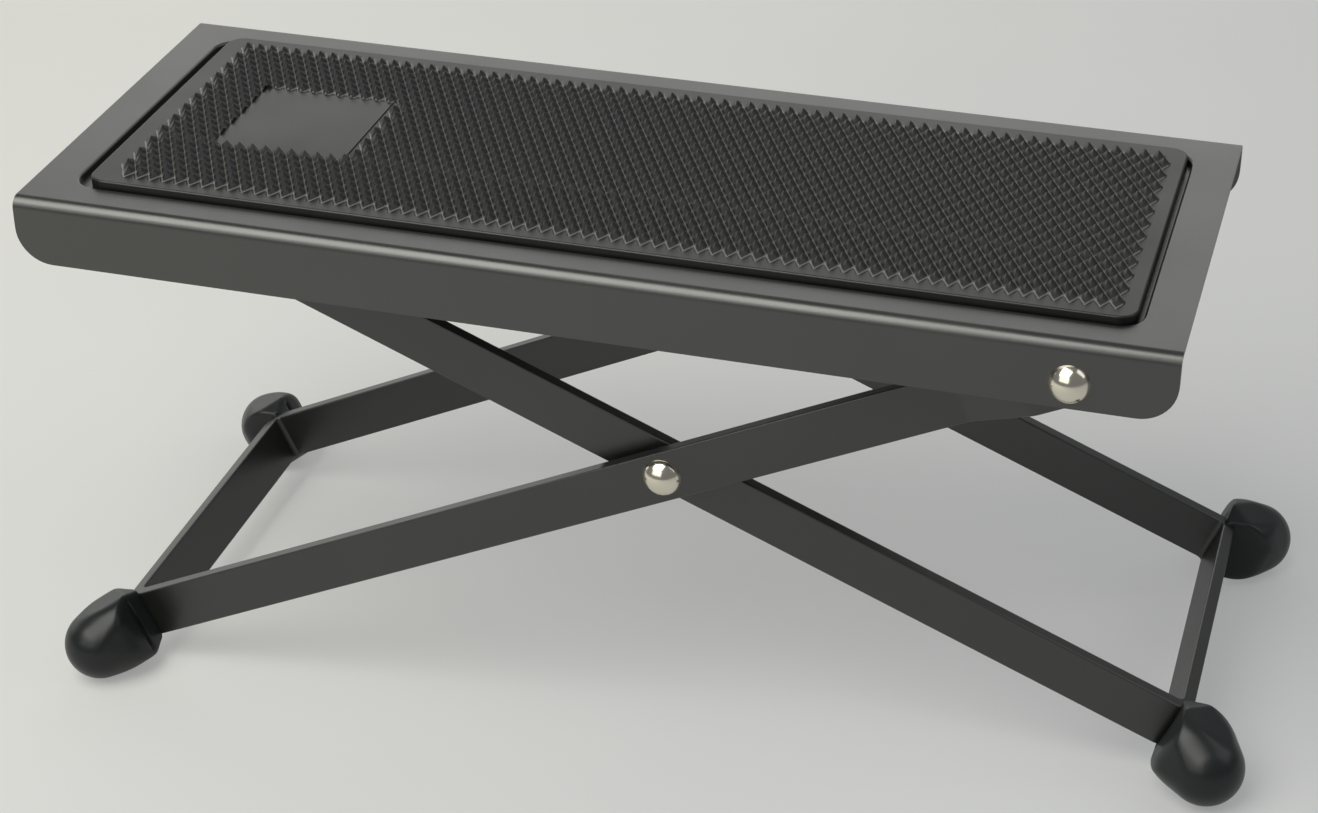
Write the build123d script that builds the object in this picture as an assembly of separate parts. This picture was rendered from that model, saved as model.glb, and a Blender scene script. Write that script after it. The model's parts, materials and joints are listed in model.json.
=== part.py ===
from build123d import *
import math
import os

# Guitar footrest: a folded steel plate with a studded rubber mat, carried on two crossed U frames
# of flat bar that fold up into the plate. A rod across the inner frame sits under notched rails.
# Lengths are millimetres, angles are degrees.
# While it is made, the plate lies level with its top at z = 0, its left end at x = 0 and its
# middle at y = 0. The finished footrest is then tilted on to its feet and centred on the origin.

# top plate
plate_length = 300.0
plate_width = 120.0
plate_depth = 18.0
plate_sheet = 1.5
plate_bend_radius = 3.0
plate_corner_radius = 9.5
recess_end_margin = 11.2
recess_side_margin = 11.4
recess_depth = 2.0
recess_corner_radius = 6.5
recess_slope = 12.0
recess_rim_radius = 0.8

# rubber mat
mat_end_gap = 2.6
mat_side_gap = 0.8
mat_rise = 1.8
mat_shift = 1.2
mat_corner_step = 1.7
mat_edge_radius = 0.5
stud_pitch = 3.68
stud_row_pitch = 3.54
stud_height = 2.0
stud_border = 3.45
patch_from_left = 24.0
patch_before_middle = 0.9
patch_columns = 10
patch_rows = 10

# flat bar of both leg frames
bar_width = 13.9
bar_thickness = 3.5
bar_bend_radius = 1.5

# outer leg frame; the shares of both frames are shares of the span from the rod to the top pivots
outer_inset = 8.5
outer_to_top_pivot_share = 0.5147
outer_to_foot_end_share = 0.7598
jog_start = 30.0
jog_length = 18.0
jog_bend_radius = 8.0

# inner leg frame
inner_to_rod_share = 0.5788
inner_to_foot_end_share = 0.6659

# support rod
rod_diameter = 5.0
rod_head_diameter = 8.4
rod_head_height = 1.0
head_chamfer_share = 0.35
rod_from_left = 52.9

# pivots
top_pivot_from_right = 25.6
bar_to_recess_gap = 0.9
rivet_head_diameter = 10.5
rivet_head_height = 3.6
rivet_shank_diameter = 5.0
rivet_tail_diameter = 8.0
rivet_tail_height = 1.4
washer_diameter = 11.0
top_washer_thickness = 0.8
cross_washer_thickness = 1.6

# notched rails
rail_sheet = 1.5
rail_foot_width = 9.0
rail_to_frame_gap = 3.0
rail_end_margin = 9.0
notch_count = 4
notch_pitch = 10.0
notches_left_of_rod = 1
notch_clearance = 0.15

# rubber feet
foot_wall = 3.05
foot_neck_corner_radius = 6.5
foot_ball_inset = 0.1
foot_ball_from_mouth = 16.6
foot_taper = 14.0
foot_rim_wall = 0.8
foot_rim_length = 4.0
outer_foot_grip_share = 0.515
inner_foot_grip_share = 0.97

# clearances
fit_clearance = 0.03
running_clearance = 0.06
rod_clearance = 0.85
foot_clearance = 0.1
cut_overrun = 2.0

# sizes and places that follow from the sizes above
recess_length = plate_length - 2 * recess_end_margin
recess_width = plate_width - 2 * recess_side_margin
recess_underside = recess_depth + plate_sheet
mat_length = recess_length - 2 * mat_end_gap
mat_width = recess_width - 2 * mat_side_gap
mat_corner_radius = recess_corner_radius - mat_corner_step
mat_thickness = recess_depth + mat_rise
top_pivot_depth = recess_underside + bar_to_recess_gap + bar_width / 2
support_span = plate_length - top_pivot_from_right - rod_from_left
outer_to_top_pivot = support_span * outer_to_top_pivot_share
outer_to_foot_end = support_span * outer_to_foot_end_share
inner_to_rod = support_span * inner_to_rod_share
inner_to_foot_end = support_span * inner_to_foot_end_share
foot_neck_width = bar_width + 2 * foot_wall
foot_ball_diameter = foot_neck_width - 2 * foot_ball_inset
outer_foot_grip = bar_thickness * outer_foot_grip_share
inner_foot_grip = bar_thickness * inner_foot_grip_share
half_width = plate_width / 2
flange_inside = half_width - plate_sheet
outer_half = half_width - outer_inset
inner_half = outer_half - bar_thickness - cross_washer_thickness
jogged_half = flange_inside - top_washer_thickness
top_pivot_x = plate_length - top_pivot_from_right
recess_middle_x = plate_length / 2
mat_middle_x = recess_middle_x + mat_shift

# Each row of studs reaches halfway into the next, so the rows take one row pitch more than their count.
stud_columns = int((mat_length - 2 * stud_border) / stud_pitch)
stud_rows = int((mat_width - 2 * stud_border) / stud_row_pitch) - 1


def angle_between(near, other, opposite):
    """Angle of a triangle between its sides near and other, in degrees."""
    cosine = (near**2 + other**2 - opposite**2) / (2 * near * other)
    return math.degrees(math.acos(cosine))


def leg_angles(rod_x):
    """Rise of the outer and of the inner frame when the rod is under the plate at rod_x."""
    span = top_pivot_x - rod_x
    outer = angle_between(outer_to_top_pivot, span, inner_to_rod)
    inner = angle_between(inner_to_rod, span, outer_to_top_pivot)
    return outer, inner


outer_angle, inner_angle = leg_angles(rod_from_left)
outer_cos, outer_sin = math.cos(math.radians(outer_angle)), math.sin(math.radians(outer_angle))
inner_cos, inner_sin = math.cos(math.radians(inner_angle)), math.sin(math.radians(inner_angle))
crossing_x = top_pivot_x - outer_to_top_pivot * outer_cos
crossing_z = -top_pivot_depth - outer_to_top_pivot * outer_sin

# The footrest stands on the round ends of its feet, so a line through their centres is level.
ball_step = foot_ball_from_mouth / math.sqrt(2)
outer_reach = outer_to_foot_end + ball_step - outer_foot_grip
inner_reach = inner_to_foot_end + ball_step - inner_foot_grip
ball_drop = outer_reach * outer_sin - inner_reach * inner_sin
ball_spread = outer_reach * outer_cos + inner_reach * inner_cos
plate_tilt = math.degrees(math.atan2(ball_drop, ball_spread))


def on_outer_leg(shape):
    """Put a shape made along +x from the crossing pivot on the outer frame, feet to the left."""
    place = Pos(crossing_x, 0, crossing_z) * Rot(0, -outer_angle, 0)
    return place * mirror(shape, about=Plane.YZ)


def on_inner_leg(shape):
    """Put a shape made along +x from the crossing pivot on the inner frame, feet to the right."""
    return Pos(crossing_x, 0, crossing_z) * Rot(0, inner_angle, 0) * shape


def to_rear(shape):
    """The same shape on the rear side."""
    return mirror(shape, about=Plane.XZ)


def across(diameter, y_from, y_to):
    """A round bar along y at the origin, from y_from to y_to."""
    middle = (y_from + y_to) / 2
    return Pos(0, middle, 0) * Rot(90, 0, 0) * Cylinder(diameter / 2, abs(y_to - y_from))


def pivot_hole(diameter):
    """A cutter along y that is longer than the footrest is wide."""
    return across(diameter, -half_width - cut_overrun, half_width + cut_overrun)


# Top plate: a channel with rounded flange corners and a shallow recess pressed into its top.
def recess_form(grow, top, bottom):
    """A sloped pocket, grow larger all round than the recess, from z = top down to bottom."""
    drop = top - bottom
    outline = RectangleRounded(
        recess_length + 2 * grow, recess_width + 2 * grow, recess_corner_radius + grow
    )
    return Pos(recess_middle_x, 0, top) * extrude(outline, -drop, taper=recess_slope)


def on_recess(point):
    """Whether a point lies on or inside the outline of the recess."""
    along = abs(point.X - recess_middle_x) < recess_length / 2 + plate_sheet
    return along and abs(point.Y) < recess_width / 2 + plate_sheet


def channel():
    from_corner = (Align.MIN, Align.CENTER, Align.MAX)
    outside = Box(plate_length, plate_width, plate_depth, align=from_corner)
    folds = outside.edges().filter_by(Axis.X).group_by(Axis.Z)[-1]
    outside = fillet(folds, plate_bend_radius)
    inside = Box(plate_length, plate_width - 2 * plate_sheet, plate_depth, align=from_corner)
    folds = inside.edges().filter_by(Axis.X).group_by(Axis.Z)[-1]
    inside = fillet(folds, plate_bend_radius - plate_sheet)
    return outside - Pos(0, 0, -plate_sheet) * inside


def top_plate():
    plate = channel()
    ends = plate.edges().filter_by(Axis.Y).group_by(Axis.Z)[0]
    plate = fillet(ends, plate_corner_radius)
    plate += recess_form(plate_sheet, -plate_sheet, -recess_underside)
    plate -= recess_form(0, 0, -recess_depth)
    rim = [edge for edge in plate.edges().group_by(Axis.Z)[-1] if on_recess(edge.center())]
    plate = fillet(rim, recess_rim_radius)
    hole = pivot_hole(rivet_shank_diameter + 2 * fit_clearance)
    return plate - Pos(top_pivot_x, 0, -top_pivot_depth) * hole


# Rubber mat: a slab with a flat rim round a field of pyramid studs and a bare patch.
def stud_centres():
    """Centres of the studs in staggered rows, less those of the bare patch."""
    left = mat_middle_x - stud_pitch * (stud_columns - 1) / 2
    front = -stud_row_pitch * (stud_rows - 1) / 2
    patch_left = mat_middle_x - mat_length / 2 + patch_from_left
    patch_right = patch_left + stud_pitch * patch_columns
    patch_rear = stud_row_pitch * patch_rows / 2 - patch_before_middle
    patch_front = patch_rear - stud_row_pitch * patch_rows
    centres = []
    for row in range(stud_rows):
        stagger = stud_pitch / 2 * (row % 2)
        y = front + stud_row_pitch * row
        for column in range(stud_columns - row % 2):
            x = left + stagger + stud_pitch * column
            if patch_left < x < patch_right and patch_front < y < patch_rear:
                continue
            centres.append((x, y))
    return centres


def border_loops(sides):
    """Closed loops of the directed sides that no neighbouring stud shares."""
    loose = {start: end for start, end in sides if (end, start) not in sides}
    loops = []
    while loose:
        first, point = loose.popitem()
        loop = [first]
        while point != first:
            loop.append(point)
            point = loose.pop(point)
        loops.append(loop)
    return loops


def stud_field(z):
    """Stud faces on the plane z, with the outlines that they leave in that plane."""
    half_steps = ((1, 0), (0, 1), (-1, 0), (0, -1))
    faces = []
    sides = set()
    for x, y in stud_centres():
        tip = Vector(x, y, z + stud_height)
        keys = [
            (round(2 * (x - mat_middle_x) / stud_pitch) + i, round(2 * y / stud_row_pitch) + 2 * j)
            for i, j in half_steps
        ]
        for start, end in zip(keys, keys[1:] + keys[:1]):
            sides.add((start, end))
            base = [field_point(start, z), field_point(end, z)]
            faces.append(Face(Wire.make_polygon(base + [tip])))
    return faces, border_loops(sides)


def field_point(key, z):
    """The point of the stud lattice with this key, which counts half pitches."""
    return Vector(mat_middle_x + key[0] * stud_pitch / 2, key[1] * stud_row_pitch / 2, z)


def rubber_mat():
    outline = RectangleRounded(mat_length, mat_width, mat_corner_radius)
    slab = Pos(mat_middle_x, 0, -recess_depth) * extrude(outline, mat_thickness)
    rim = slab.faces().sort_by(Axis.Z)[-1].edges()
    slab = fillet(rim, mat_edge_radius)
    faces = slab.faces().sort_by(Axis.Z)
    top = faces.pop()
    studs, loops = stud_field(mat_rise)
    loops.sort(key=len)
    wires = [Wire.make_polygon([field_point(key, mat_rise) for key in loop]) for loop in loops]
    field_outline = wires.pop()
    ring = Face(top.outer_wire(), [field_outline])
    patches = [Face(wire) for wire in wires]
    return Solid(Shell(list(faces) + [ring] + patches + studs))


# Leg frames: flat bar bent into a U, with its open ends rounded off.
def bent_bar(points, radii):
    """Sweep the bar section along a level path through the points."""
    path = FilletPolyline(*points, radius=radii)
    start = Plane(origin=path @ 0, x_dir=Vector(0, 0, 1), z_dir=path % 0)
    return sweep(start * Rectangle(bar_width, bar_thickness), path=path)


def rounded_end(frame, end_x, half):
    """Round the bar ends at end_x to half circles, as seen from the side."""
    keep = across(bar_width, -half_width - cut_overrun, half_width + cut_overrun)
    middle = end_x + half
    block = Box(
        half, 2 * half_width, bar_width + cut_overrun,
        align=(Align.MAX, Align.CENTER, Align.CENTER),
    )
    return frame - (Pos(middle, 0, 0) * block - Pos(middle, 0, 0) * keep)


def outer_leg_frame():
    middle = outer_half - bar_thickness / 2
    jogged = jogged_half - bar_thickness / 2
    end_x = -outer_to_top_pivot - bar_width / 2
    cross_x = outer_to_foot_end - bar_thickness / 2
    jog_from = jog_start - outer_to_top_pivot
    jog_to = jog_from - jog_length
    front = [(end_x, -jogged), (jog_to, -jogged), (jog_from, -middle), (cross_x, -middle)]
    rear = [(x, -y) for x, y in reversed(front)]
    corner = bar_bend_radius + bar_thickness / 2
    radii = [jog_bend_radius, jog_bend_radius, corner, corner, jog_bend_radius, jog_bend_radius]
    frame = rounded_end(bent_bar(front + rear, radii), end_x, bar_width / 2)
    frame -= Pos(-outer_to_top_pivot, 0, 0) * pivot_hole(rivet_shank_diameter + 2 * running_clearance)
    frame -= pivot_hole(rivet_shank_diameter + 2 * fit_clearance)
    return on_outer_leg(frame)


def inner_leg_frame():
    middle = inner_half - bar_thickness / 2
    end_x = -inner_to_rod - bar_width / 2
    cross_x = inner_to_foot_end - bar_thickness / 2
    points = [(end_x, -middle), (cross_x, -middle), (cross_x, middle), (end_x, middle)]
    frame = bent_bar(points, bar_bend_radius + bar_thickness / 2)
    frame = rounded_end(frame, end_x, bar_width / 2)
    frame -= pivot_hole(rivet_shank_diameter + 2 * running_clearance)
    frame -= Pos(-inner_to_rod, 0, 0) * pivot_hole(rod_diameter + 2 * fit_clearance)
    return on_inner_leg(frame)


# Support rod, peened over outside the inner frame.
def support_rod():
    rod = across(rod_diameter, -inner_half, inner_half)
    head = across(rod_head_diameter, inner_half, inner_half + rod_head_height)
    head = chamfer(head.edges().group_by(Axis.Y)[-1], rod_head_height * head_chamfer_share)
    return on_inner_leg(Pos(-inner_to_rod, 0, 0) * (rod + head + to_rear(head)))


# Rivets and washers. Each is made at y = 0 with its domed head towards -y.
def rivet_head():
    """A dome on the plane y = 0 that rises towards -y."""
    half = rivet_head_diameter / 2
    radius = (half**2 + rivet_head_height**2) / (2 * rivet_head_height)
    ball = Pos(0, radius - rivet_head_height, 0) * Sphere(radius)
    return ball & across(2 * rivet_head_diameter, 0, -rivet_head_height - cut_overrun)


def rivet(grip):
    """A domed head on a shank whose tail holds a stack of plates as thick as grip."""
    tail_from = grip + running_clearance
    shank = across(rivet_shank_diameter, 0, tail_from)
    tail = across(rivet_tail_diameter, tail_from, tail_from + rivet_tail_height)
    tail = chamfer(tail.edges().group_by(Axis.Y)[-1], rivet_tail_height * head_chamfer_share)
    return rivet_head() + shank + tail


def washer(thickness, clearance):
    ring = across(washer_diameter, 0, thickness)
    return ring - pivot_hole(rivet_shank_diameter + 2 * clearance)


def front_upper_rivet():
    grip = plate_sheet + top_washer_thickness + bar_thickness
    return Pos(top_pivot_x, -half_width, -top_pivot_depth) * rivet(grip)


def front_upper_washer():
    ring = washer(top_washer_thickness, fit_clearance)
    return Pos(top_pivot_x, -flange_inside, -top_pivot_depth) * ring


def front_cross_rivet():
    grip = bar_thickness + cross_washer_thickness + bar_thickness
    return Pos(crossing_x, -outer_half, crossing_z) * rivet(grip)


def front_cross_washer():
    ring = washer(cross_washer_thickness, fit_clearance)
    return Pos(crossing_x, bar_thickness - outer_half, crossing_z) * ring


# Notched rails: angle strips welded under the recess, with a notch for each height.
def front_rack_rail():
    face_y = -(inner_half - bar_thickness - rail_to_frame_gap)
    tips_z = -top_pivot_depth + rod_diameter / 2 + rod_clearance
    first = rod_from_left - notch_pitch * notches_left_of_rod
    last = first + notch_pitch * (notch_count - 1)
    length = last - first + 2 * rail_end_margin
    start = (first - rail_end_margin, face_y, -recess_underside)
    from_corner = (Align.MIN, Align.MIN, Align.MAX)
    web = Box(length, rail_sheet, -recess_underside - tips_z, align=from_corner)
    foot = Box(length, rail_foot_width, rail_sheet, align=from_corner)
    rail = Pos(*start) * (web + foot)
    for notch in range(notch_count):
        cutter = across(rod_diameter + 2 * notch_clearance, face_y - cut_overrun,
                        face_y + rail_sheet + cut_overrun)
        rail -= Pos(first + notch_pitch * notch, 0, tips_z) * cutter
    return rail


# Rubber feet: four alike blunt caps pushed on to the bent corners of the frames along their diagonal.
# The blank is made on the z axis with its mouth at the origin and its round end upwards.
def foot_neck():
    """A square bar with rounded corners that runs through the whole cap."""
    square = RectangleRounded(foot_neck_width, foot_neck_width, foot_neck_corner_radius)
    reach = foot_ball_from_mouth + foot_ball_diameter
    return Pos(0, 0, -foot_neck_width) * extrude(square, foot_neck_width + reach)


def foot_round_end():
    """A ball with the cone that touches it all round, which narrows towards the ball."""
    taper = math.radians(foot_taper)
    radius = foot_ball_diameter / 2
    touch_radius = radius * math.cos(taper)
    touch_z = foot_ball_from_mouth + radius * math.sin(taper)
    height = touch_z + foot_neck_width
    wide_radius = touch_radius + height * math.tan(taper)
    from_top = (Align.CENTER, Align.CENTER, Align.MAX)
    cone = Pos(0, 0, touch_z) * Cone(wide_radius, touch_radius, height, align=from_top)
    return cone + Pos(0, 0, foot_ball_from_mouth) * Sphere(radius)


def foot_rim():
    """A block whose two sides slope outwards from the rim at the bar to the full neck."""
    start = bar_width / 2 + foot_rim_wall
    slope = foot_rim_length / (foot_neck_width / 2 - start)
    wide = foot_neck_width / 2 + cut_overrun
    wide_z = foot_rim_wall + slope * (wide - start)
    end = foot_ball_from_mouth + foot_ball_diameter
    right = [(start, foot_rim_wall), (wide, wide_z), (wide, end)]
    left = [(-x, z) for x, z in reversed(right)]
    return extrude(Plane.YZ * make_face(Polyline(*right, *left, close=True)), foot_neck_width, both=True)


def foot(half, end_x, grip):
    """A cap on the corner at x = end_x, y = -half of a leg frame that lies level."""
    diagonal = Plane(origin=(end_x - grip, grip - half, 0), x_dir=(1, 1, 0), z_dir=(1, -1, 0))
    cap = diagonal.location * (foot_neck() & foot_round_end() & foot_rim())
    return (cap & bar_quadrant(half, end_x, grip)) - bar_corner(half, end_x)


def bar_quadrant(half, end_x, inset):
    """A block that reaches outwards from inset inside both outer faces of the corner."""
    reach = 4 * foot_neck_width
    block = Box(reach, reach, reach, align=(Align.MIN, Align.MAX, Align.CENTER))
    return Pos(end_x - inset, -half + inset, 0) * block


def bar_corner(half, end_x):
    """The bent corner of the bar with a little clearance."""
    reach = foot_neck_width
    middle = bar_thickness / 2
    corner = (end_x - middle, -half + middle)
    points = [(corner[0] - reach, corner[1]), corner, (corner[0], corner[1] + reach)]
    path = FilletPolyline(*points, radius=bar_bend_radius + middle)
    start = Plane(origin=path @ 0, x_dir=Vector(0, 0, 1), z_dir=path % 0)
    section = Rectangle(bar_width + 2 * foot_clearance, bar_thickness + 2 * foot_clearance)
    return sweep(start * section, path=path)


def left_front_foot():
    return on_outer_leg(foot(outer_half, outer_to_foot_end, outer_foot_grip))


def right_front_foot():
    return on_inner_leg(foot(inner_half, inner_to_foot_end, inner_foot_grip))


def all_pieces():
    """Every piece under its name, with the plate still level."""
    pieces = {
        "top_plate": top_plate(),
        "rubber_mat": rubber_mat(),
        "outer_leg_frame": outer_leg_frame(),
        "inner_leg_frame": inner_leg_frame(),
        "support_rod": support_rod(),
    }
    pairs = {
        "rack_rail": front_rack_rail(),
        "upper_rivet": front_upper_rivet(),
        "upper_washer": front_upper_washer(),
        "cross_rivet": front_cross_rivet(),
        "cross_washer": front_cross_washer(),
        "left_foot": left_front_foot(),
        "right_foot": right_front_foot(),
    }
    for name, shape in pairs.items():
        pieces["front_" + name] = shape
        pieces["rear_" + name] = to_rear(shape)
    return pieces


def standing(pieces):
    """The place that tilts the level pieces on to their feet and centres them on the origin."""
    tilt = Rot(0, plate_tilt, 0)
    bounds = Compound([tilt * shape for shape in pieces.values()]).bounding_box()
    middle_x = (bounds.min.X + bounds.max.X) / 2
    return Pos(-middle_x, 0, -bounds.min.Z) * tilt


level_pieces = all_pieces()
stand = standing(level_pieces)
os.makedirs("parts", exist_ok=True)
for name, shape in level_pieces.items():
    export_step(stand * shape, f"parts/{name}.step")
print("outer frame rises", round(outer_angle, 2), "inner frame", round(inner_angle, 2))
print("plate tilts", round(plate_tilt, 2))
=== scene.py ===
import json
import math
import bmesh
import bpy
import numpy as np
from mathutils import Matrix, Vector
from mathutils.geometry import tessellate_polygon


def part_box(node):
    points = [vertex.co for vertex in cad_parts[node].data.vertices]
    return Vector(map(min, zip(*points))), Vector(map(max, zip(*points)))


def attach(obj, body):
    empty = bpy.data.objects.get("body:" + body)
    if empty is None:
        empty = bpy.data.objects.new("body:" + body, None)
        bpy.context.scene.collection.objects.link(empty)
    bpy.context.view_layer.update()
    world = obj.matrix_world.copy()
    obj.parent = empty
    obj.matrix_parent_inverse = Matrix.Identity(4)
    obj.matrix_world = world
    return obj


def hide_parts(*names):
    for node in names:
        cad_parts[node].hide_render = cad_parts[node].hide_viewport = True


# Folding guitar footrest: a studded mat on a pressed plate, crossed flat-bar legs and rubber caps.
# Sizes in the dictionaries are millimetres and degrees unless a note says metres.

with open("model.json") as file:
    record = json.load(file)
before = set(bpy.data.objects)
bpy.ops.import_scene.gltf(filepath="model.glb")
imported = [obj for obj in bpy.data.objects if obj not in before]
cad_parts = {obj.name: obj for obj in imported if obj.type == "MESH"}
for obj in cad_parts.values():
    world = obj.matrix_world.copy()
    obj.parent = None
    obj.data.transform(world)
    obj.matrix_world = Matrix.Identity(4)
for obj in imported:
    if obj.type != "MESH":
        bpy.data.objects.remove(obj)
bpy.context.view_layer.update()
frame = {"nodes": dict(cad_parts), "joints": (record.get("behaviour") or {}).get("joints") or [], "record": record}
mm = 0.001
tiny = 1e-6  # far below any size here
print("frame loaded:", len(frame["nodes"]), "solids")

# Where the pieces stand: the two pivots, the plate's lean and the lean of each leg frame.
joints = {joint["name"]: joint for joint in frame["joints"]}
upperPivot = np.array(joints["leg_swing"]["pos_m"])
crossPivot = np.array(joints["leg_scissor"]["pos_m"])
restAxis = frame["record"]["mounts"][0]["axis"]
tilt = math.atan2(restAxis[0], restAxis[2])
rodSpot = np.array(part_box("support_rod")).mean(0)
outerLean = math.atan2(upperPivot[2] - crossPivot[2], upperPivot[0] - crossPivot[0])
innerLean = math.atan2(rodSpot[2] - crossPivot[2], crossPivot[0] - rodSpot[0])
plateShape = {"pivotFromLeft": 274.4, "pivotDepth": 11.35}


# A direction of the level plate, turned about y by the plate's lean.
def turned(vectors):
    v = np.asarray(vectors, float)
    x, z = v[..., 0], v[..., 2]
    return np.stack([x * math.cos(tilt) + z * math.sin(tilt), v[..., 1],
                     -x * math.sin(tilt) + z * math.cos(tilt)], -1)


# Points of the level plate (left end x = 0, top z = 0), turned about the upper pivot.
def onPlate(points):
    pivot = np.array([plateShape["pivotFromLeft"], 0.0, -plateShape["pivotDepth"]])
    return turned((np.asarray(points, float) - pivot) * mm) + upperPivot


# Points (along the leg, across, up from the bar's middle) turned by the leg's lean about the
# crossing. Side -1 is the outer frame, whose feet are on the left, and 1 the inner frame.
def onLeg(points, side):
    p = np.asarray(points, float) * mm
    lean = outerLean if side < 0 else innerLean
    s, y, n = p[..., 0], p[..., 1], p[..., 2]
    x = side * (s * math.cos(lean) + n * math.sin(lean))
    return np.stack([x, y, -s * math.sin(lean) + n * math.cos(lean)], -1) + crossPivot


# Quads between the rows of a grid: rows run along the surface and columns run round it.
def gridFaces(rows, cols, closeAround=True, first=0):
    i, j = np.meshgrid(np.arange(rows - 1), np.arange(cols if closeAround else cols - 1), indexing="ij")
    k = (j + 1) % cols
    quads = np.stack([i * cols + j, i * cols + k, (i + 1) * cols + k, (i + 1) * cols + j], -1)
    return (quads.reshape(-1, 4) + first).tolist()


# A mesh of the grid's quads. Its first and last rows can be closed by one face each.
def gridMesh(name, points, closeAround=True, closeEnds=False):
    rows, cols = points.shape[:2]
    faces = gridFaces(rows, cols, closeAround)
    if closeEnds:
        faces.append(list(range(cols - 1, -1, -1)))
        faces.append(list(range((rows - 1) * cols, rows * cols)))
    mesh = bpy.data.meshes.new(name)
    mesh.from_pydata(points.reshape(-1, 3).tolist(), [], faces)
    return mesh


# Doubles are merged, faces turned outwards, and edges sharper than the given angle stay crisp.
def finishMesh(mesh, sharpAngle=None):
    work = bmesh.new()
    work.from_mesh(mesh)
    bmesh.ops.remove_doubles(work, verts=work.verts, dist=tiny)
    bmesh.ops.dissolve_degenerate(work, dist=tiny / 10, edges=work.edges)
    bmesh.ops.recalc_face_normals(work, faces=work.faces)
    work.to_mesh(mesh)
    work.free()
    mesh.polygons.foreach_set("use_smooth", [True] * len(mesh.polygons))
    if sharpAngle:
        mesh.set_sharp_from_angle(angle=math.radians(sharpAngle))
    mesh.update()
    return mesh


# A finished mesh becomes a piece: it hides the solids that it replaces and rides on their body.
def newPiece(mesh, body, material, replaced):
    obj = bpy.data.objects.new(mesh.name, mesh)
    bpy.context.scene.collection.objects.link(obj)
    obj.data.materials.append(material)
    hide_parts(*replaced)
    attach(obj, body)
    return obj


# Small helpers for shader trees. A number, a colour or another socket can go into each input.
def feed(tree, socket, value):
    if isinstance(value, tuple):
        socket.default_value = (*value, 1.0)
    elif isinstance(value, (int, float)):
        socket.default_value = value
    else:
        tree.links.new(value, socket)


def nodeGroup(name, inputs, outputs):
    group = bpy.data.node_groups.new(name, "ShaderNodeTree")
    for label, kind in inputs.items():
        group.interface.new_socket(name=label, in_out="INPUT", socket_type="NodeSocket" + kind)
    for label, kind in outputs.items():
        group.interface.new_socket(name=label, in_out="OUTPUT", socket_type="NodeSocket" + kind)
    return group, group.nodes.new("NodeGroupInput").outputs, group.nodes.new("NodeGroupOutput").inputs


def mathNode(tree, operation, first, second, clamp=False):
    node = tree.nodes.new("ShaderNodeMath")
    node.operation = operation
    node.use_clamp = clamp
    feed(tree, node.inputs[0], first)
    feed(tree, node.inputs[1], second)
    return node.outputs[0]


def mapRange(tree, value, low, high, outLow=0.0, outHigh=1.0):
    node = tree.nodes.new("ShaderNodeMapRange")
    node.interpolation_type = "SMOOTHSTEP"
    labels = ("Value", "From Min", "From Max", "To Min", "To Max")
    for label, item in zip(labels, (value, low, high, outLow, outHigh)):
        feed(tree, node.inputs[label], item)
    return node.outputs["Result"]


def mixColour(tree, factor, first, second):
    node = tree.nodes.new("ShaderNodeMix")
    node.data_type = "RGBA"
    for socket, item in zip((node.inputs[0], node.inputs[6], node.inputs[7]), (factor, first, second)):
        feed(tree, socket, item)
    return node.outputs[2]


def noise(tree, vector, scale, detail=2.0, rough=0.5):
    node = tree.nodes.new("ShaderNodeTexNoise")
    for label, item in (("Vector", vector), ("Scale", scale), ("Detail", detail), ("Roughness", rough)):
        feed(tree, node.inputs[label], item)
    return node.outputs["Fac"]


def groupNode(tree, group, values):
    node = tree.nodes.new("ShaderNodeGroup")
    node.node_tree = group
    for label, item in values.items():
        feed(tree, node.inputs[label], item)
    return node.outputs


# Fine grain: a coarse and a fine noise added up, the height of orange peel or of a moulded skin.
grainBlend = {"coarse": 0.65, "fine": 0.35, "fineRough": 0.6}
grainGroup, gIn, gOut = nodeGroup(
    "fineGrain", {"Vector": "Vector", "Scale": "Float", "Fineness": "Float"}, {"Height": "Float"})
fineScale = mathNode(grainGroup, "MULTIPLY", gIn["Scale"], gIn["Fineness"])
coarse = noise(grainGroup, gIn["Vector"], gIn["Scale"], 1.0)
fine = noise(grainGroup, gIn["Vector"], fineScale, 2.0, grainBlend["fineRough"])
grainSum = mathNode(grainGroup, "ADD", mathNode(grainGroup, "MULTIPLY", coarse, grainBlend["coarse"]),
                    mathNode(grainGroup, "MULTIPLY", fine, grainBlend["fine"]))
feed(grainGroup, gOut["Height"], grainSum)

# Handling: slow patches where a finish is a little greyer and duller, with sparse pale specks of dust.
# Scales are in waves per metre, and each pair of shares is where the noise fades in.
handledLook = {"patchScale": 22.0, "patchRough": 0.6, "patchShares": (0.42, 0.72),
               "speckScale": 1400.0, "speckShares": (0.73, 0.80), "middle": 0.5, "lift": 4.0}
handledGroup, hIn, hOut = nodeGroup(
    "handled",
    {"Vector": "Vector", "Colour": "Color", "Dust": "Color", "Patch": "Float", "Specks": "Float",
     "Roughness": "Float", "Spread": "Float"},
    {"Colour": "Color", "Roughness": "Float"})
slow = noise(handledGroup, hIn["Vector"], handledLook["patchScale"], 3.0, handledLook["patchRough"])
quick = noise(handledGroup, hIn["Vector"], handledLook["speckScale"], 1.0)
patch = mapRange(handledGroup, slow, *handledLook["patchShares"], 0.0, hIn["Patch"])
speck = mapRange(handledGroup, quick, *handledLook["speckShares"], 0.0, hIn["Specks"])
faint = mathNode(handledGroup, "ADD", patch, speck, True)
feed(handledGroup, hOut["Colour"], mixColour(handledGroup, faint, hIn["Colour"], hIn["Dust"]))
lift = mathNode(handledGroup, "SUBTRACT", slow, handledLook["middle"])
lift = mathNode(handledGroup, "MULTIPLY", lift, hIn["Spread"])
lift = mathNode(handledGroup, "MULTIPLY", lift, handledLook["lift"])
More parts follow.
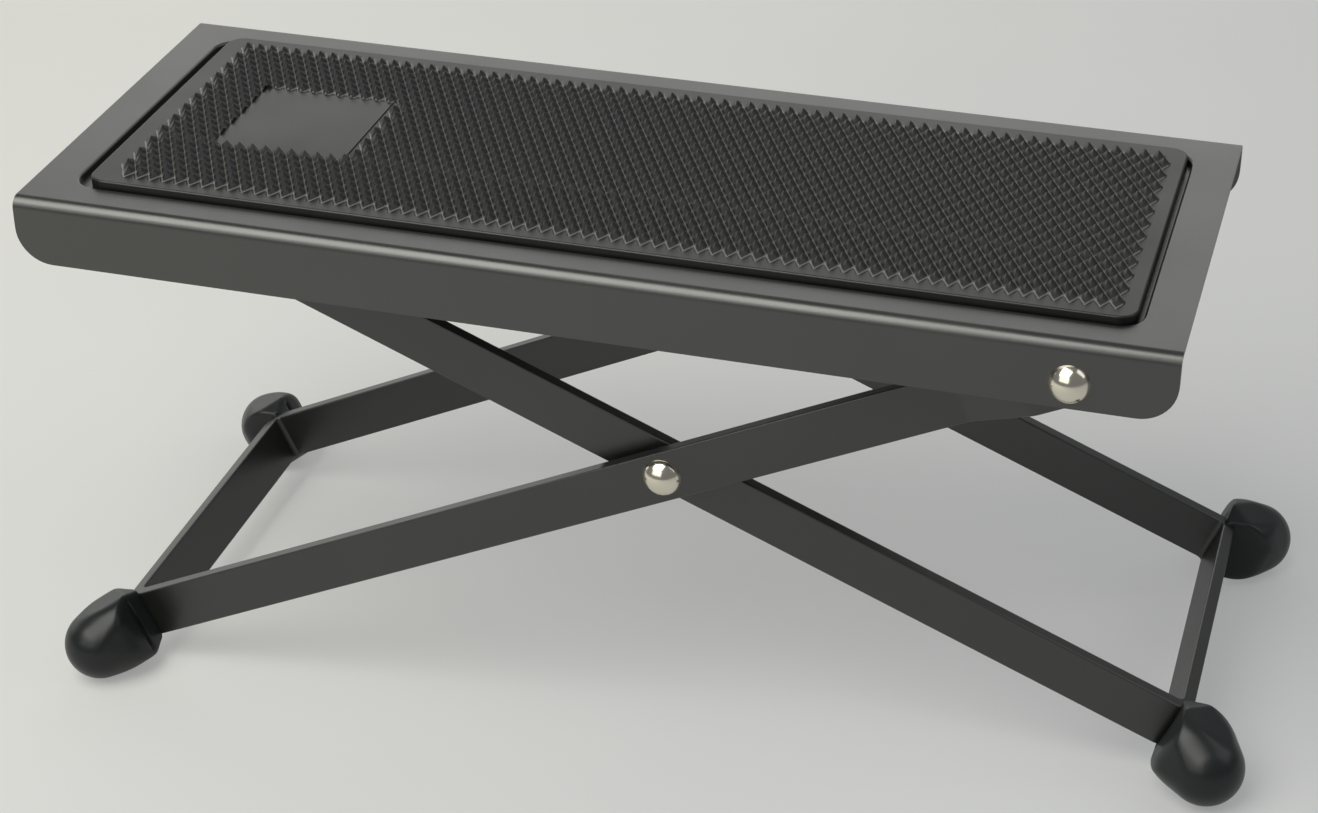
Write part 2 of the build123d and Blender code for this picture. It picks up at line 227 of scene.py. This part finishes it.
feed(handledGroup, hOut["Roughness"], mathNode(handledGroup, "ADD", hIn["Roughness"], lift, True))


# A Principled surface whose colour, roughness and bump come from the two groups.
def finishMaterial(name, look):
    material = bpy.data.materials.new(name)
    material.use_nodes = True
    tree = material.node_tree
    shader = tree.nodes["Principled BSDF"]
    place = tree.nodes.new("ShaderNodeTexCoord").outputs["Object"]
    handled = groupNode(tree, handledGroup, {
        "Vector": place, "Colour": look["colour"], "Dust": look["dust"], "Patch": look["patch"],
        "Specks": look["specks"], "Roughness": look["roughness"], "Spread": look["spread"]})
    feed(tree, shader.inputs["Base Color"], handled["Colour"])
    feed(tree, shader.inputs["Roughness"], handled["Roughness"])
    grain = groupNode(tree, grainGroup, {
        "Vector": place, "Scale": look["grainScale"], "Fineness": look["fineness"]})
    bump = tree.nodes.new("ShaderNodeBump")
    bump.inputs["Strength"].default_value = look["bump"]
    bump.inputs["Distance"].default_value = look["bumpDepth"] * mm
    feed(tree, bump.inputs["Height"], grain["Height"])
    feed(tree, shader.inputs["Normal"], bump.outputs["Normal"])
    shader.inputs["Metallic"].default_value = look["metallic"]
    shader.inputs["Specular IOR Level"].default_value = look["specular"]
    shader.inputs["IOR"].default_value = look["ior"]
    return material


# The finishes. The paints and rubbers are nearly black, and their tone comes from what they mirror.
plateLook = {
    "colour": (0.0078, 0.0080, 0.0069), "dust": (0.12, 0.12, 0.11), "patch": 0.04, "specks": 0.06,
    "roughness": 0.34, "spread": 0.04, "grainScale": 1300.0, "fineness": 2.4,
    "bump": 0.22, "bumpDepth": 0.05, "metallic": 0.0, "specular": 1.0, "ior": 1.62,
}
legLook = dict(plateLook, colour=(0.0055, 0.0058, 0.0050), roughness=0.35, ior=1.53)
hiddenLook = dict(plateLook, colour=(0.012, 0.0125, 0.011), roughness=0.45, patch=0.12)
matLook = {
    "colour": (0.0055, 0.0055, 0.0058), "dust": (0.12, 0.12, 0.115), "patch": 0.03, "specks": 0.06,
    "roughness": 0.38, "spread": 0.05, "grainScale": 1800.0, "fineness": 2.2,
    "bump": 0.3, "bumpDepth": 0.05, "metallic": 0.0, "specular": 0.62, "ior": 1.50,
}
capLook = {
    "colour": (0.012, 0.0140, 0.0150), "dust": (0.13, 0.135, 0.13), "patch": 0.06, "specks": 0.06,
    "roughness": 0.33, "spread": 0.05, "grainScale": 1500.0, "fineness": 2.5,
    "bump": 0.25, "bumpDepth": 0.05, "metallic": 0.0, "specular": 0.42, "ior": 1.50,
}
nickelLook = {
    "colour": (0.86, 0.81, 0.68), "dust": (0.54, 0.50, 0.41), "patch": 0.30, "specks": 0.12,
    "roughness": 0.17, "spread": 0.05, "grainScale": 700.0, "fineness": 3.0,
    "bump": 0.2, "bumpDepth": 0.04, "metallic": 1.0, "specular": 0.5, "ior": 1.50,
}
zincLook = dict(nickelLook, colour=(0.56, 0.57, 0.57), dust=(0.40, 0.39, 0.36), roughness=0.36, patch=0.4)
platePaint = finishMaterial("platePowderCoat", plateLook)
legPaint = finishMaterial("legPowderCoat", legLook)
hiddenPaint = finishMaterial("railPowderCoat", hiddenLook)
matRubber = finishMaterial("matRubber", matLook)
capRubber = finishMaterial("capRubber", capLook)
nickel = finishMaterial("nickelRivet", nickelLook)
zinc = finishMaterial("zincPlate", zincLook)
print("materials ready")

cadFinishes = {"top_plate": platePaint, "rubber_mat": matRubber, "outer_leg_frame": legPaint,
               "inner_leg_frame": legPaint, "support_rod": zinc}
for side in ("front", "rear"):
    cadFinishes[side + "_rack_rail"] = hiddenPaint
    for place in ("upper", "cross"):
        cadFinishes[f"{side}_{place}_rivet"] = nickel
        cadFinishes[f"{side}_{place}_washer"] = zinc
    for place in ("left", "right"):
        cadFinishes[f"{side}_{place}_foot"] = capRubber
for name, node in frame["nodes"].items():
    node.data.materials.clear()
    node.data.materials.append(cadFinishes[name])
print("finishes on", len(cadFinishes), "solids")


# The mat. Its bare panel has straight edges, which cut the studs round it. The field runs from
# firstHalf to columns, counted in half pitches from its middle.
matShape = {
    "length": 272.4, "width": 95.6, "middle": 151.2, "depth": 2.0, "rise": 1.8, "corner": 4.8, "edge": 0.5,
    "pitch": 3.68, "rowPitch": 3.54, "height": 2.0, "columns": 72, "rows": 24, "firstHalf": -70,
    "split": 3, "blunt": 0.05, "coverReach": 1.02, "lineGap": 0.1,
    "gapX": (39.0, 75.8), "gapY": (-18.6, 16.8), "panelX": (38.4, 75.3), "panelY": (-19.7, 17.0),
    "panelRise": 0.3, "panelDraft": 0.06, "cornerSteps": 12, "edgeSteps": 5,
    "sharpAngle": 60, "levelCosine": 0.9995,
}


# Height of the stud field. Studs stand on the corners of a grid of half pitches wherever the two
# counts add up to an odd number. Each falls away as 1 - |u| - |v| from its tip, with the two
# lengths eased near zero, so that its ridges and its tip are blunt. Also says where studs stand.
def studHeight(x, y):
    m = matShape
    u = x / (m["pitch"] / 2)
    v = y / m["rowPitch"] + (m["rows"] - 1) / 2
    best = np.zeros(np.broadcast(x, y).shape)
    covered = best > 0
    for stepU in (0, 1):
        for stepV in (0, 1):
            i = np.floor(u + tiny) + stepU
            j = np.floor(v + tiny) + stepV
            centreX = i * m["pitch"] / 2 + m["middle"]
            centreY = (j - (m["rows"] - 1) / 2) * m["rowPitch"]
            there = ((i + j) % 2 == 1) & (j >= 0) & (j < m["rows"])
            there &= (i >= m["firstHalf"]) & (i <= m["columns"] - 1 - j % 2)
            there &= ~((centreX > m["gapX"][0]) & (centreX < m["gapX"][1])
                       & (centreY > m["gapY"][0]) & (centreY < m["gapY"][1]))
            away = np.hypot(u - i, m["blunt"]) + np.hypot(v - j, m["blunt"])
            tall = np.clip((1 + m["blunt"] - away) / (1 - m["blunt"]), 0, 1)
            best = np.maximum(best, np.where(there, tall, 0))
            covered |= there & (np.abs(u - i) + np.abs(v - j) < m["coverReach"])
    return best * m["height"], covered


# Grid lines at even shares of a pitch, with pairs of lines at the panel's edges.
def fieldLines(half, count, low, high):
    lines = np.linspace(-half, half, count)
    extra = np.array([low - matShape["panelDraft"], low, high, high + matShape["panelDraft"]])
    lines = lines[np.abs(lines[:, None] - extra[None]).min(1) > matShape["lineGap"]]
    return np.sort(np.concatenate([lines, extra]))


# A rounded rectangle, drawn in from the mat's outline by inset.
def matOutline(inset):
    m = matShape
    r = m["corner"] - inset
    turn = np.radians(np.linspace(0, 90, m["cornerSteps"] + 1))
    sides = []
    for k, (signX, signY) in enumerate(((1, 1), (-1, 1), (-1, -1), (1, -1))):
        a = turn + k * math.pi / 2
        centre = np.array([signX * (m["length"] / 2 - m["corner"]), signY * (m["width"] / 2 - m["corner"])])
        sides.append(centre + r * np.stack([np.cos(a), np.sin(a)], 1))
    return np.vstack(sides)


# The top is the stud field on its grid, split along the valleys, then a flat border out to the
# outline. The outline goes over a rounded edge and down the wall, and a face closes the bottom.
def matMesh():
    m = matShape
    halfX, halfY = m["pitch"] / 2 * m["columns"], m["rowPitch"] / 2 * (m["rows"] + 1)
    panelX = [value - m["middle"] for value in m["panelX"]]
    xs = fieldLines(halfX, 2 * m["columns"] * m["split"] + 1, *panelX)
    ys = fieldLines(halfY, (m["rows"] + 1) * m["split"] + 1, *m["panelY"])
    x, y = np.meshgrid(xs, ys)
    tall, covered = studHeight(x, y)
    onPanel = (x > panelX[0] - tiny) & (x < panelX[1] + tiny)
    onPanel &= (y > m["panelY"][0] - tiny) & (y < m["panelY"][1] + tiny)
    tall[onPanel] = m["panelRise"]
    nx, ny = len(xs), len(ys)
    index = np.arange(nx * ny).reshape(ny, nx)
    a, b, c, d = index[:-1, :-1], index[:-1, 1:], index[1:, 1:], index[1:, :-1]
    middleU = np.floor((xs[1:] + xs[:-1]) / m["pitch"])
    middleV = np.floor((ys[1:] + ys[:-1]) / (2 * m["rowPitch"]) + (m["rows"] - 1) / 2)
    leans = ((middleU[None] + middleV[:, None]) % 2 == 1)[..., None]
    lowerHalves = np.where(leans, np.stack([a, b, d], -1), np.stack([a, b, c], -1)).reshape(-1, 3)
    upperHalves = np.where(leans, np.stack([b, c, d], -1), np.stack([a, c, d], -1)).reshape(-1, 3)
    faces = lowerHalves.tolist() + upperHalves.tolist()
    around = np.concatenate([index[0, :-1], index[:-1, -1], index[-1, :0:-1], index[:0:-1, 0]])
    field = np.stack([x, y, tall + m["rise"]], -1).reshape(-1, 3)
    swing = np.radians(np.linspace(0, 90, m["edgeSteps"] + 1))
    insets = np.append(m["edge"] * (1 - np.sin(swing)), 0.0)
    levels = np.append(m["rise"] - m["edge"] * (1 - np.cos(swing)), -m["depth"])
    rings = np.stack([np.insert(matOutline(inset), 2, level, 1) for inset, level in zip(insets, levels)])
    count = rings.shape[1]
    first = nx * ny
    links = np.concatenate([np.arange(first, first + count), around])
    loops = [[Vector(p) for p in rings[0]], [Vector(p) for p in field[around]]]
    faces += [[int(links[k]) for k in triangle] for triangle in tessellate_polygon(loops)]
    faces += gridFaces(len(insets), count, True, first)
    faces.append(list(range(first + (len(insets) - 1) * count, first + len(insets) * count)))
    points = np.vstack([field, rings.reshape(-1, 3)]) + np.array([m["middle"], 0, 0])
    mesh = bpy.data.meshes.new("studdedMat")
    mesh.from_pydata(onPlate(points).tolist(), [], faces)
    masks = {"studRise": tall / m["height"], "panel": onPanel, "onStuds": covered & ~onPanel}
    offField = np.zeros(rings.size // 3)
    for label, values in masks.items():
        layer = mesh.attributes.new(label, "FLOAT", "POINT")
        layer.data.foreach_set("value", np.append(values.ravel().astype(float), offField))
    finishMesh(mesh, m["sharpAngle"])
    normals = np.empty(len(mesh.polygons) * 3)
    mesh.polygons.foreach_get("normal", normals)
    level = normals.reshape(-1, 3) @ turned([0.0, 0.0, 1.0]) > m["levelCosine"]
    mesh.polygons.foreach_set("use_smooth", ~level)
    return mesh


# The mat's finish: pale lines down the valleys, a painted highlight along the lit bands with some dust in it,
# tips a little paler, a painted highlight with a little wear, and a smooth panel. The ranges are shares of a
# stud's height, and of the mask that says where studs stand.
studLook = {
    "tip": (0.008, 0.008, 0.0078), "valley": (0.165, 0.165, 0.159), "panel": (0.006, 0.0062, 0.0066),
    "tipRange": (0.72, 1.0), "tipShare": 0.8, "valleyRange": (0.04, 0.20), "fieldRange": (0.5, 0.95),
}


def matFinish(material):
    tree = material.node_tree
    shader = tree.nodes["Principled BSDF"]
    colour = shader.inputs["Base Color"].links[0].from_socket
    sockets = {}
    for label in ("studRise", "panel", "onStuds"):
        node = tree.nodes.new("ShaderNodeAttribute")
        node.attribute_name = label
        sockets[label] = node.outputs["Fac"]
    # Tips: a paler colour as a painted highlight, with a little wear.
    tips = mapRange(tree, sockets["studRise"], *studLook["tipRange"], 0.0, studLook["tipShare"])
    # Valleys: pale lines of painted highlight, with some dust.
    valleys = mapRange(tree, sockets["studRise"], *studLook["valleyRange"], 1.0, 0.0)
    onStuds = mapRange(tree, sockets["onStuds"], *studLook["fieldRange"])
    valleys = mathNode(tree, "MULTIPLY", valleys, onStuds)
    colour = mixColour(tree, valleys, colour, studLook["valley"])
    colour = mixColour(tree, tips, colour, studLook["tip"])
    colour = mixColour(tree, sockets["panel"], colour, studLook["panel"])
    feed(tree, shader.inputs["Base Color"], colour)


studdedMat = newPiece(matMesh(), "top", matRubber, ("rubber_mat",))
matFinish(matRubber)
print("mat done:", len(studdedMat.data.polygons), "faces")


# Leg frames: a rounded bar section carried along the bent path. intoCap is how much further the
# outer bar reaches into its caps than its solid does.
barShape = {"width": 13.9, "thickness": 3.5, "edge": 0.45, "bend": 1.5, "arcSteps": 10, "edgeSteps": 4,
            "endSteps": 14, "support": 0.12, "leastHalf": 0.2, "edgeLimit": 0.9}
outerShape = {"half": 51.5, "toPivot": 114.006, "toFootEnd": 168.296, "jogStart": 30.0, "jogLength": 18.0,
              "jogBend": 8.0, "joggedHalf": 57.7, "intoCap": 1.7}
innerShape = {"half": 46.4, "toRod": 128.204, "toFootEnd": 147.497}


# A line through the corners with each corner rounded to an arc: points and unit directions.
def bentPath(corners, radii, steps):
    corners = np.array(corners, float)
    legs = np.diff(corners, axis=0)
    legs /= np.linalg.norm(legs, axis=1)[:, None]
    points, ways = [corners[0]], [legs[0]]
    for k, radius in enumerate(radii):
        before, after = legs[k], legs[k + 1]
        turn = math.atan2(before[0] * after[1] - before[1] * after[0], before @ after)
        start = corners[k + 1] - before * radius * math.tan(abs(turn) / 2)
        a = np.linspace(0, turn, steps + 1)
        across = np.array([-before[1], before[0]]) * math.copysign(1, turn)
        c, s = np.cos(a)[:, None], np.sin(abs(a))[:, None]
        points.extend(start + radius * (s * before + (1 - c) * across))
        ways.extend(c * before + s * across)
    return np.array(points + [corners[-1]]), np.array(ways + [legs[-1]])


# Section of a bar with rounded corners: signs of the four corners, then the offsets that round
# them in units of the edge radius. A support point beside each arc keeps the flats flat.
def barSection(edge):
    a = np.linspace(0, math.pi / 2, barShape["edgeSteps"] + 1)
    offsets = np.stack([np.cos(a), np.sin(a)], 1)
    support = barShape["support"] / edge
    rows = []
    for k in range(4):
        c, s = round(math.cos(k * math.pi / 2)), round(math.sin(k * math.pi / 2))
        turnedArc = offsets @ np.array([[c, s], [-s, c]])
        before = turnedArc[:1] - np.array([[-s, c]]) * support
        after = turnedArc[-1:] - np.array([[c, s]]) * support
        ring = np.vstack([before, turnedArc, after])
        rows.append(np.hstack([np.repeat([[c - s, s + c]], len(ring), 0), ring]))
    return np.vstack(rows)


# Each point is path point + across * thickness part + up * width part. Near the two ends the half
# width follows a circle, which rounds the bar off as seen from the side.
def barMesh(name, corners, radii, side):
    path, ways = bentPath(corners, radii, barShape["arcSteps"])
    radius = barShape["width"] / 2
    swing = np.radians(np.linspace(90, 0, barShape["endSteps"] + 1))
    ends = []
    for tip, way, sign in ((path[0], ways[0], 1), (path[-1], -ways[-1], -1)):
        stations = tip + way * radius - way * (radius * np.sin(swing))[:, None]
        halves = np.maximum(radius * np.cos(swing), barShape["edge"] * barShape["leastHalf"])
        ends.append((stations[::sign], halves[::sign], np.repeat((way * sign)[None], len(swing), 0)))
    stations = np.vstack([ends[0][0], path[1:-1], ends[1][0]])
    halves = np.concatenate([ends[0][1], np.full(len(path) - 2, radius), ends[1][1]])
    along = np.vstack([ends[0][2], ways[1:-1], ends[1][2]])
    section = barSection(barShape["edge"])
    edge = np.minimum(barShape["edge"], halves * barShape["edgeLimit"])[:, None]
    acrossPart = section[None, :, 0] * (barShape["thickness"] / 2 - edge) + section[None, :, 2] * edge
    upPart = section[None, :, 1] * (halves[:, None] - edge) + section[None, :, 3] * edge
    normal = np.stack([-along[:, 1], along[:, 0]], 1)
    flat = stations[:, None, :] + normal[:, None, :] * acrossPart[..., None]
    points = np.concatenate([flat, upPart[..., None]], -1)
    return finishMesh(gridMesh(name, onLeg(points, side), closeEnds=True))


cornerRadius = barShape["bend"] + barShape["thickness"] / 2
midOuter = outerShape["half"] - barShape["thickness"] / 2
midJogged = outerShape["joggedHalf"] - barShape["thickness"] / 2
midInner = innerShape["half"] - barShape["thickness"] / 2
jogFrom = outerShape["jogStart"] - outerShape["toPivot"]
jogTo = jogFrom - outerShape["jogLength"]
outerStart = -outerShape["toPivot"] - barShape["width"] / 2
outerEnd = outerShape["toFootEnd"] + outerShape["intoCap"] - barShape["thickness"] / 2
innerStart = -innerShape["toRod"] - barShape["width"] / 2
innerEnd = innerShape["toFootEnd"] - barShape["thickness"] / 2
outerRun = [(outerStart, -midJogged), (jogTo, -midJogged), (jogFrom, -midOuter), (outerEnd, -midOuter)]
innerRun = [(innerStart, -midInner), (innerEnd, -midInner)]
outerRadii = [outerShape["jogBend"], outerShape["jogBend"], cornerRadius]
for name, body, node, run, radii, side in (
        ("outerLegBar", "outer_legs", "outer_leg_frame", outerRun, outerRadii, -1),
        ("innerLegBar", "inner_legs", "inner_leg_frame", innerRun, [cornerRadius], 1)):
    corners = run + [(x, -y) for x, y in reversed(run)]
    newPiece(barMesh(name, corners, radii + radii[::-1], side), body, legPaint, (node,))
print("leg bars done")


# Rubber caps. Each has a groove on the face of its mouth that looks along the leg.
capShape = {"neck": 20.0, "neckRound": 6.5, "ball": 19.8, "ballFromMouth": 16.6, "taper": 14.0,
            "rimWall": 0.8, "rimLength": 4.0, "rimGap": 0.05, "lip": 0.4, "soft": 0.6, "mouthSoft": 2.6,
            "around": 160, "along": 44, "domeRows": 22, "sharpAngle": 55, "leastSine": 0.001,
            "grooveWidth": 0.60, "grooveDepth": 1.4, "grooveSide": 8.2, "grooveFade": 0.6,
            "grooveRows": (-1.3, -1.0, -0.5, 0.0, 0.5, 1.0, 1.3), "grooveClear": 1.7,
            "grooveFlat": 1.6, "grooveSlope": 1.4, "deepest": 0.6}


# The smaller of two, eased where they are nearly equal.
def softMin(a, b, soft):
    h = np.clip(0.5 + 0.5 * (b - a) / soft, 0, 1)
    return b * (1 - h) + a * h - soft * h * (1 - h)


# Distance from the axis to the neck's rounded square at each angle.
def neckRadius(angle):
    half, r = capShape["neck"] / 2, capShape["neckRound"]
    c, s = np.abs(np.cos(angle)), np.abs(np.sin(angle))
    b = (c + s) * (half - r)
    onArc = b + np.sqrt(np.maximum(b * b - 2 * (half - r)**2 + r * r, 0.0))
    inCorner = (onArc * c >= half - r) & (onArc * s >= half - r)
    return np.where(inCorner, onArc, half / np.maximum(c, s))


# A cap on the bent corner: t runs along the corner's diagonal and the angle runs round it. The
# radius is the smallest of the square neck, of the cone that touches the ball, of the sloped rim
# and of the mouth's two faces, which spread at 45 degrees from the bars, all eased into each other.
def capMesh(name, half, footEnd, fit, side, rear):
    cap = capShape
    ball = cap["ball"] / 2
    taper = math.radians(cap["taper"])
    mouthT = -fit["grip"] * math.sqrt(2)
    ballT = mouthT + cap["ballFromMouth"]
    touchT = ballT + ball * math.sin(taper)
    rimT = mouthT + cap["rimWall"]
    rimHalf = barShape["width"] / 2 + cap["rimWall"]
    slope = (cap["neck"] / 2 - rimHalf) / cap["rimLength"]
    grooveT = mouthT + (fit["groove"] + fit["grip"]) / math.sqrt(2)
    angle = np.linspace(0, 2 * math.pi, cap["around"], endpoint=False)[None]
    cosA, sinA = np.cos(angle), np.sin(angle)

    def outerRadius(t):
        cone = ball * math.cos(taper) + (touchT - t) * math.tan(taper)
        r = softMin(neckRadius(angle), cone, cap["soft"])
        rim = (rimHalf + np.maximum(t - rimT, 0) * slope) / np.maximum(np.abs(sinA), cap["leastSine"])
        faces = (t - mouthT) / np.maximum(np.abs(cosA), cap["leastSine"])
        return softMin(softMin(r, rim, cap["soft"]), faces, cap["mouthSoft"])

    width = cap["grooveWidth"]
    extra = grooveT + width * np.array(cap["grooveRows"])
    rows = np.linspace(rimT, touchT, cap["along"])
    rows = rows[np.abs(rows - grooveT) > cap["grooveClear"] * width]
    t = np.sort(np.concatenate([rows, extra[extra > rimT + cap["rimGap"]]]))[:, None]
    r = outerRadius(t)
    lip = np.clip((t - rimT) / cap["lip"], 0, 1)
    r = r - cap["lip"] * (1 - np.sqrt(1 - (1 - lip) ** 2))
    inBand = np.clip(cap["grooveFlat"] - cap["grooveSlope"] * np.abs(t - grooveT) / width, 0, 1)
    inSide = np.clip((cap["grooveSide"] - np.abs(r * sinA)) / cap["grooveFade"], 0, 1) * (cosA < 0)
    dip = inBand * inSide
    r = r - np.minimum(dip * cap["grooveDepth"], r * cap["deepest"])
    rise = np.linspace(taper, math.pi / 2, cap["domeRows"])[1:, None]
    allT = np.vstack([[[rimT]], t, ballT + ball * np.sin(rise)])
    allR = np.vstack([np.zeros_like(cosA), r, np.repeat(ball * np.cos(rise), cap["around"], 1)])
    p, n = allR * cosA, allR * sinA
    along = footEnd + (allT + p) / math.sqrt(2)
    out = half + (allT - p) / math.sqrt(2)
    mesh = gridMesh(name, onLeg(np.stack([along, out if rear else -out, n], -1), side))
    # This groove mask also carries the painted shade in the cap's finish.
    groove = np.zeros_like(allR)
    groove[1:len(t) + 1] = dip
    mesh.attributes.new("groove", "FLOAT", "POINT").data.foreach_set("value", groove.ravel())
    return finishMesh(mesh, cap["sharpAngle"])


# Inside its groove the rubber is dull, and its colour is painted black as shade in the crease.
grooveShadeLook = {"Base Color": (0.001, 0.001, 0.001), "Roughness": (1.0, 1.0, 1.0)}


def capFinish(material):
    tree = material.node_tree
    shader = tree.nodes["Principled BSDF"]
    node = tree.nodes.new("ShaderNodeAttribute")
    node.attribute_name = "groove"
    for label, value in grooveShadeLook.items():
        before = shader.inputs[label].links[0].from_socket
        feed(tree, shader.inputs[label], mixColour(tree, node.outputs["Fac"], before, value))


capFits = {"Left": {"grip": 1.8025, "groove": 5.6}, "Right": {"grip": 3.395, "groove": 0.5}}
capSeats = (("Left", outerShape, -1, "outer_legs"), ("Right", innerShape, 1, "inner_legs"))
for rear in (False, True):
    place = "rear" if rear else "front"
    for way, bar, side, body in capSeats:
        mesh = capMesh(place + way + "Cap", bar["half"], bar["toFootEnd"], capFits[way], side, rear)
        newPiece(mesh, body, capRubber, (f"{place}_{way.lower()}_foot",))
capFinish(capRubber)
print("caps done")


# The camera stands where the photograph was taken, its place and directions given from the level
# plate. The focal length is in pixels of the photograph's width, and the near and far limits in metres.
view = {"focal": 2900.0, "wide": 1318.0, "spot": (350.46, -652.66, 334.56), "sensor": 36.0,
        "way": (-0.24593, 0.82320, -0.51172), "up": (-0.14066, 0.49204, 0.85914), "near": 0.01, "far": 50.0}


def placeCamera():
    camera = bpy.data.objects.new("camera", bpy.data.cameras.new("camera"))
    bpy.context.scene.collection.objects.link(camera)
    back = -Vector(turned(view["way"])).normalized()
    right = Vector(turned(view["up"])).cross(back).normalized()
    turn = Matrix((right, back.cross(right), back)).transposed().to_4x4()
    camera.matrix_world = Matrix.Translation(Vector(onPlate(view["spot"]))) @ turn
    camera.data.sensor_width = view["sensor"]
    camera.data.lens = view["sensor"] * view["focal"] / view["wide"]
    camera.data.clip_start = view["near"]
    camera.data.clip_end = view["far"]
    bpy.context.scene.camera = camera


# The floor is a paper sweep whose colour is painted paler and warmer on the left and cooler on the right, as
# light falling from the left would leave it. To the camera, and less so in reflections, it glows faintly, which
# pales the shadows on it. Sizes are metres.
floorLook = {"left": (0.455, 0.455, 0.428), "right": (0.335, 0.341, 0.350), "from": -0.65, "to": 0.50,
             "lean": -0.18, "mottleScale": 5.0, "mottle": 0.25,
             "glow": 0.72, "mirrored": 0.6, "roughness": 0.85,
             "width": 7.0, "front": -3.0, "middle": -1.0, "behind": 2.0, "bend": 0.6, "rise": 2.4,
             "bendSteps": 15, "widthSteps": 8}


# Depth and height of each line follow a flat run, a quarter circle and a wall, carried sideways.
def makeFloor():
    look = floorLook
    a = np.linspace(0, math.pi / 2, look["bendSteps"] + 1)
    back = look["behind"] + look["bend"]
    y = np.concatenate([[look["front"], look["middle"]], look["behind"] + look["bend"] * np.sin(a), [back]])
    z = np.concatenate([[0, 0], look["bend"] * (1 - np.cos(a)), [look["rise"]]])
    x = np.linspace(-look["width"] / 2, look["width"] / 2, look["widthSteps"] + 1)
    points = np.stack(np.broadcast_arrays(x[None], y[:, None], z[:, None]), -1)
    mesh = gridMesh("floorSweep", points, closeAround=False)
    mesh.polygons.foreach_set("use_smooth", [True] * len(mesh.polygons))
    floor = bpy.data.objects.new("floorSweep", mesh)
    bpy.context.scene.collection.objects.link(floor)
    paper = bpy.data.materials.new("palePaper")
    paper.use_nodes = True
    tree = paper.node_tree
    shader = tree.nodes["Principled BSDF"]
    place = tree.nodes.new("ShaderNodeTexCoord").outputs["Object"]
    split = tree.nodes.new("ShaderNodeSeparateXYZ")
    tree.links.new(place, split.inputs[0])
    leaning = mathNode(tree, "MULTIPLY", split.outputs["Y"], look["lean"])
    # The fall from a pale left to a cooler right is painted light, as from a lamp on the left.
    across = mapRange(tree, mathNode(tree, "ADD", split.outputs["X"], leaning), look["from"], look["to"])
    mottle = mathNode(tree, "SUBTRACT", noise(tree, place, look["mottleScale"], 3.0), 0.5)
    mottle = mathNode(tree, "MULTIPLY", mottle, look["mottle"])
    across = mathNode(tree, "ADD", across, mottle, True)
    paperWithPaintedLight = mixColour(tree, across, look["left"], look["right"])
    feed(tree, shader.inputs["Base Color"], paperWithPaintedLight)
    feed(tree, shader.inputs["Emission Color"], paperWithPaintedLight)
    path = tree.nodes.new("ShaderNodeLightPath").outputs
    mirrored = mathNode(tree, "MULTIPLY", path["Is Glossy Ray"], look["mirrored"])
    seen = mathNode(tree, "ADD", path["Is Camera Ray"], mirrored, True)
    feed(tree, shader.inputs["Emission Strength"], mathNode(tree, "MULTIPLY", seen, look["glow"]))
    shader.inputs["Roughness"].default_value = look["roughness"]
    mesh.materials.append(paper)


# Large soft lamps in metres and watts: a key high in front, weak fills low in front and on the
# right, and low panels on the left and behind. All of them look at the middle of the footrest.
lampSetup = {
    "keyLamp": {"spot": (-0.34, -0.56, 1.18), "size": (1.1, 1.0), "power": 13.0, "colour": (1, 0.992, 0.92)},
    "leftPanel": {"spot": (-1.70, 1.00, 0.62), "size": (2.2, 1.0), "power": 6.0, "colour": (1, 0.995, 0.96)},
    "backPanel": {"spot": (-0.30, 1.95, 0.98), "size": (1.7, 1.1), "power": 5.6, "colour": (1.0, 1.0, 0.98)},
    "frontLamp": {"spot": (-0.55, -1.25, 0.80), "size": (1.4, 0.7), "power": 3.6, "colour": (1, 0.99, 0.96)},
    "rightLamp": {"spot": (1.30, 0.20, 1.20), "size": (1.2, 1.2), "power": 4.0, "colour": (0.96, 0.98, 1.0)},
}
lampTarget = (0, 0, 0.06)
roomLight = {"colour": (0.80, 0.81, 0.83), "strength": 0.22}


def makeLamps():
    for name, setup in lampSetup.items():
        light = bpy.data.lights.new(name, "AREA")
        light.shape = "RECTANGLE"
        light.size, light.size_y = setup["size"]
        light.energy = setup["power"]
        light.color = setup["colour"]
        lamp = bpy.data.objects.new(name, light)
        bpy.context.scene.collection.objects.link(lamp)
        lamp.location = setup["spot"]
        lamp.rotation_mode = "QUATERNION"
        way = Vector(lampTarget) - Vector(setup["spot"])
        lamp.rotation_quaternion = way.to_track_quat("-Z", "Y")
    world = bpy.data.worlds.new("softRoom")
    bpy.context.scene.world = world
    world.use_nodes = True
    inputs = world.node_tree.nodes["Background"].inputs
    inputs["Color"].default_value = (*roomLight["colour"], 1.0)
    inputs["Strength"].default_value = roomLight["strength"]


placeCamera()
makeFloor()
makeLamps()
bpy.context.scene.view_settings.view_transform = "Standard"
print("camera, floor and lamps done")
